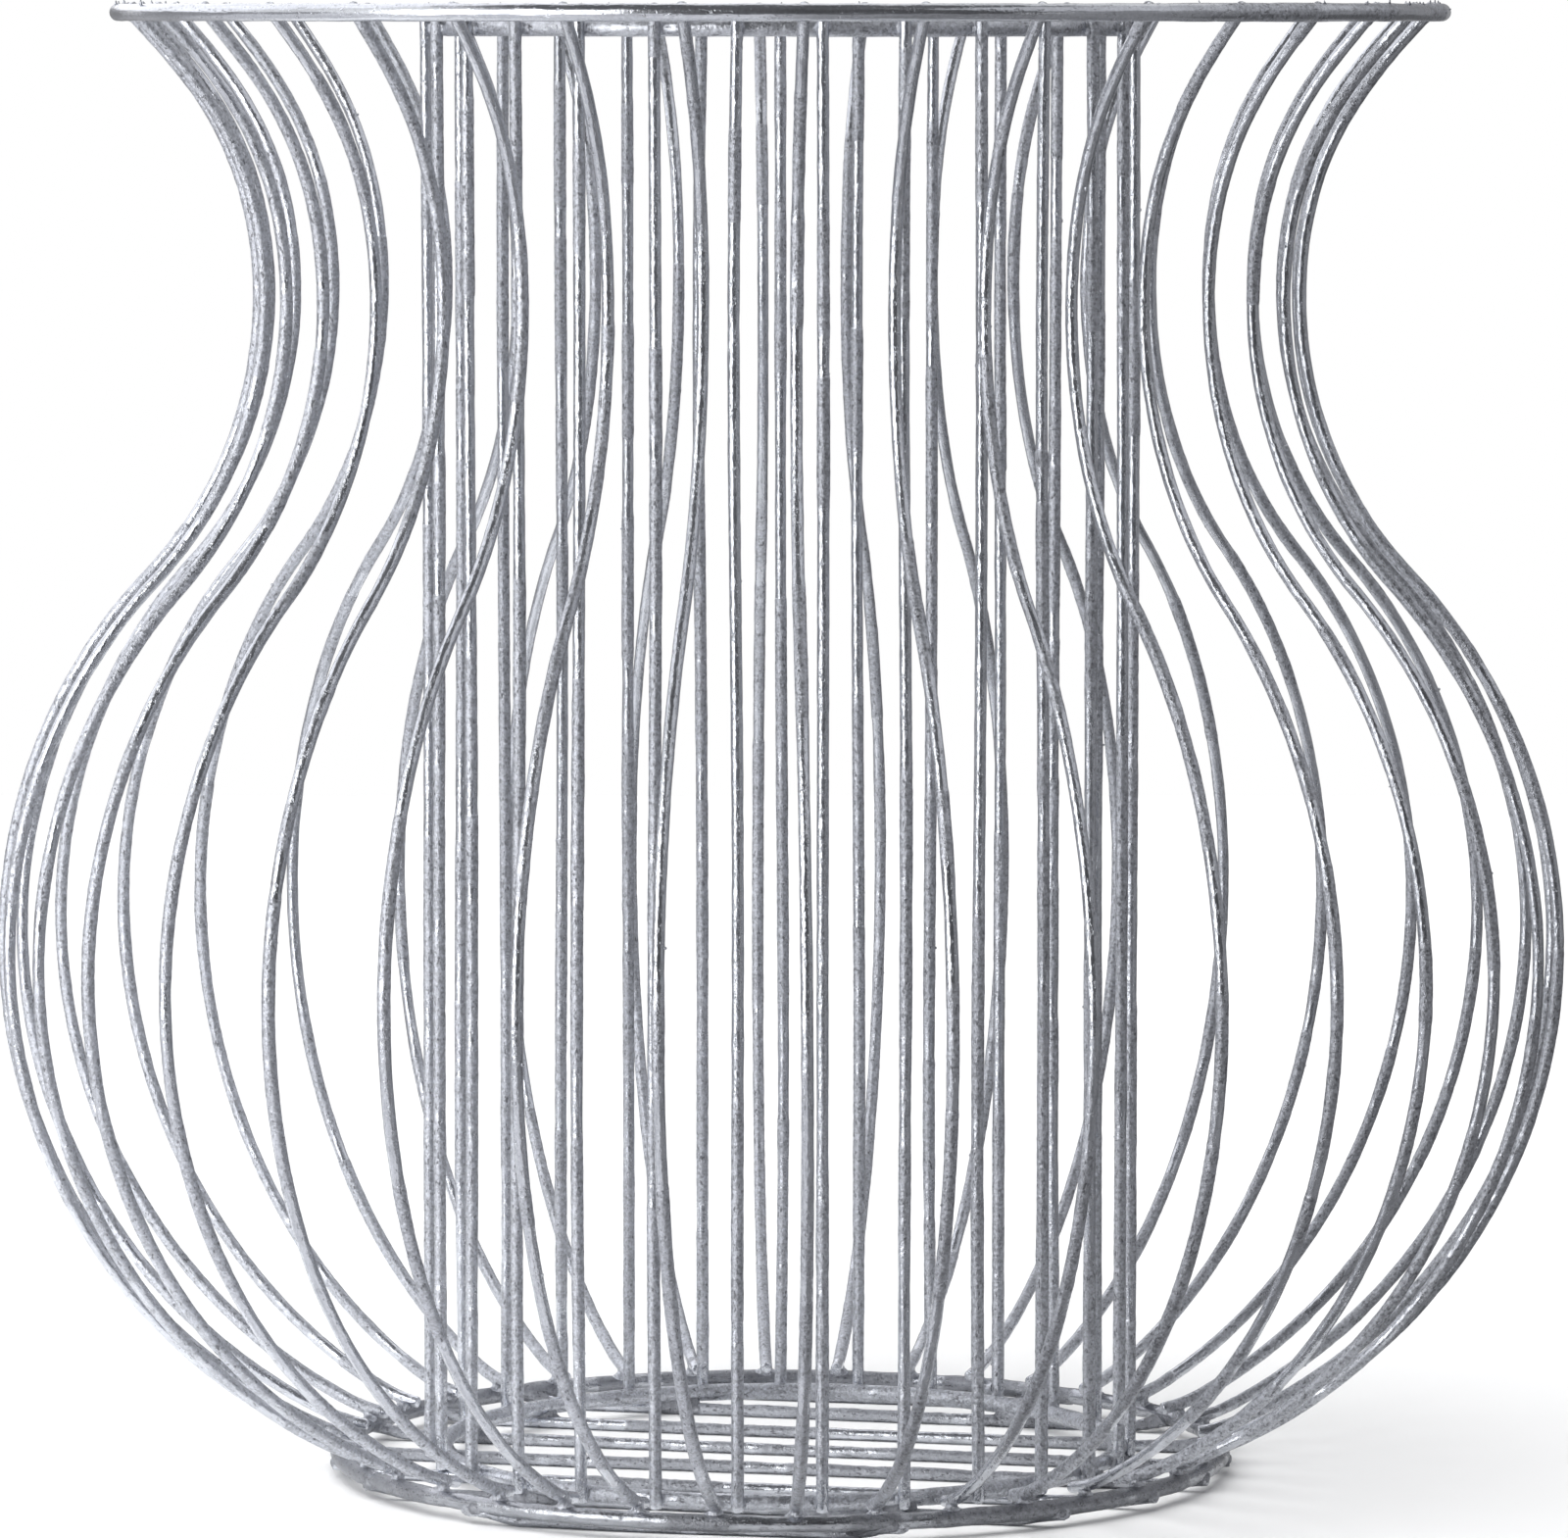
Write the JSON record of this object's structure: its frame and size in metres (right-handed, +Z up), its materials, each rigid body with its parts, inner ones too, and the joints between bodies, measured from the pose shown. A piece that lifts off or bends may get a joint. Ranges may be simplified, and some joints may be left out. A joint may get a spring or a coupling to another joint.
{
  "type": "wire plant basket",
  "caption": "Bulged wire basket of galvanised ribs between a flared rim ring and a base grille, with a straight inner wire cage that holds a plant pot.",
  "frame": {"origin": "on the basket's vertical axis, at the level of the surface it stands on", "axes": "+Z up along the axis of the rings, -Y to the front that the picture shows, +X to its right"},
  "size_m": [0.3974, 0.3974, 0.3738],
  "materials": {
    "zinc": "satin"
  },
  "bodies": {
    "root": {"rim_ring": "zinc", "outer_rib_01": "zinc", "outer_rib_02": "zinc", "outer_rib_03": "zinc", "outer_rib_04": "zinc", "outer_rib_05": "zinc", "outer_rib_06": "zinc", "outer_rib_07": "zinc", "outer_rib_08": "zinc", "outer_rib_09": "zinc", "outer_rib_10": "zinc", "outer_rib_11": "zinc", "outer_rib_12": "zinc", "outer_rib_13": "zinc", "outer_rib_14": "zinc", "outer_rib_15": "zinc", "outer_rib_16": "zinc", "outer_rib_17": "zinc", "outer_rib_18": "zinc", "outer_rib_19": "zinc", "outer_rib_20": "zinc", "outer_rib_21": "zinc", "outer_rib_22": "zinc", "outer_rib_23": "zinc", "outer_rib_24": "zinc", "outer_rib_25": "zinc", "outer_rib_26": "zinc", "outer_rib_27": "zinc", "outer_rib_28": "zinc", "outer_rib_29": "zinc", "outer_rib_30": "zinc", "outer_rib_31": "zinc", "outer_rib_32": "zinc", "outer_rib_33": "zinc", "outer_rib_34": "zinc", "outer_rib_35": "zinc", "outer_rib_36": "zinc", "base_grille": "zinc", "inner_cage_frame": "zinc", "inner_top_ring": "zinc", "inner_upright_02": "zinc", "inner_upright_03": "zinc", "inner_upright_05": "zinc", "inner_upright_06": "zinc", "inner_upright_08": "zinc", "inner_upright_09": "zinc", "inner_upright_11": "zinc", "inner_upright_12": "zinc", "inner_upright_14": "zinc", "inner_upright_15": "zinc", "inner_upright_17": "zinc", "inner_upright_18": "zinc", "inner_upright_20": "zinc", "inner_upright_21": "zinc", "inner_upright_23": "zinc", "inner_upright_24": "zinc", "inner_upright_26": "zinc", "inner_upright_27": "zinc"}
  },
  "joints": []
}
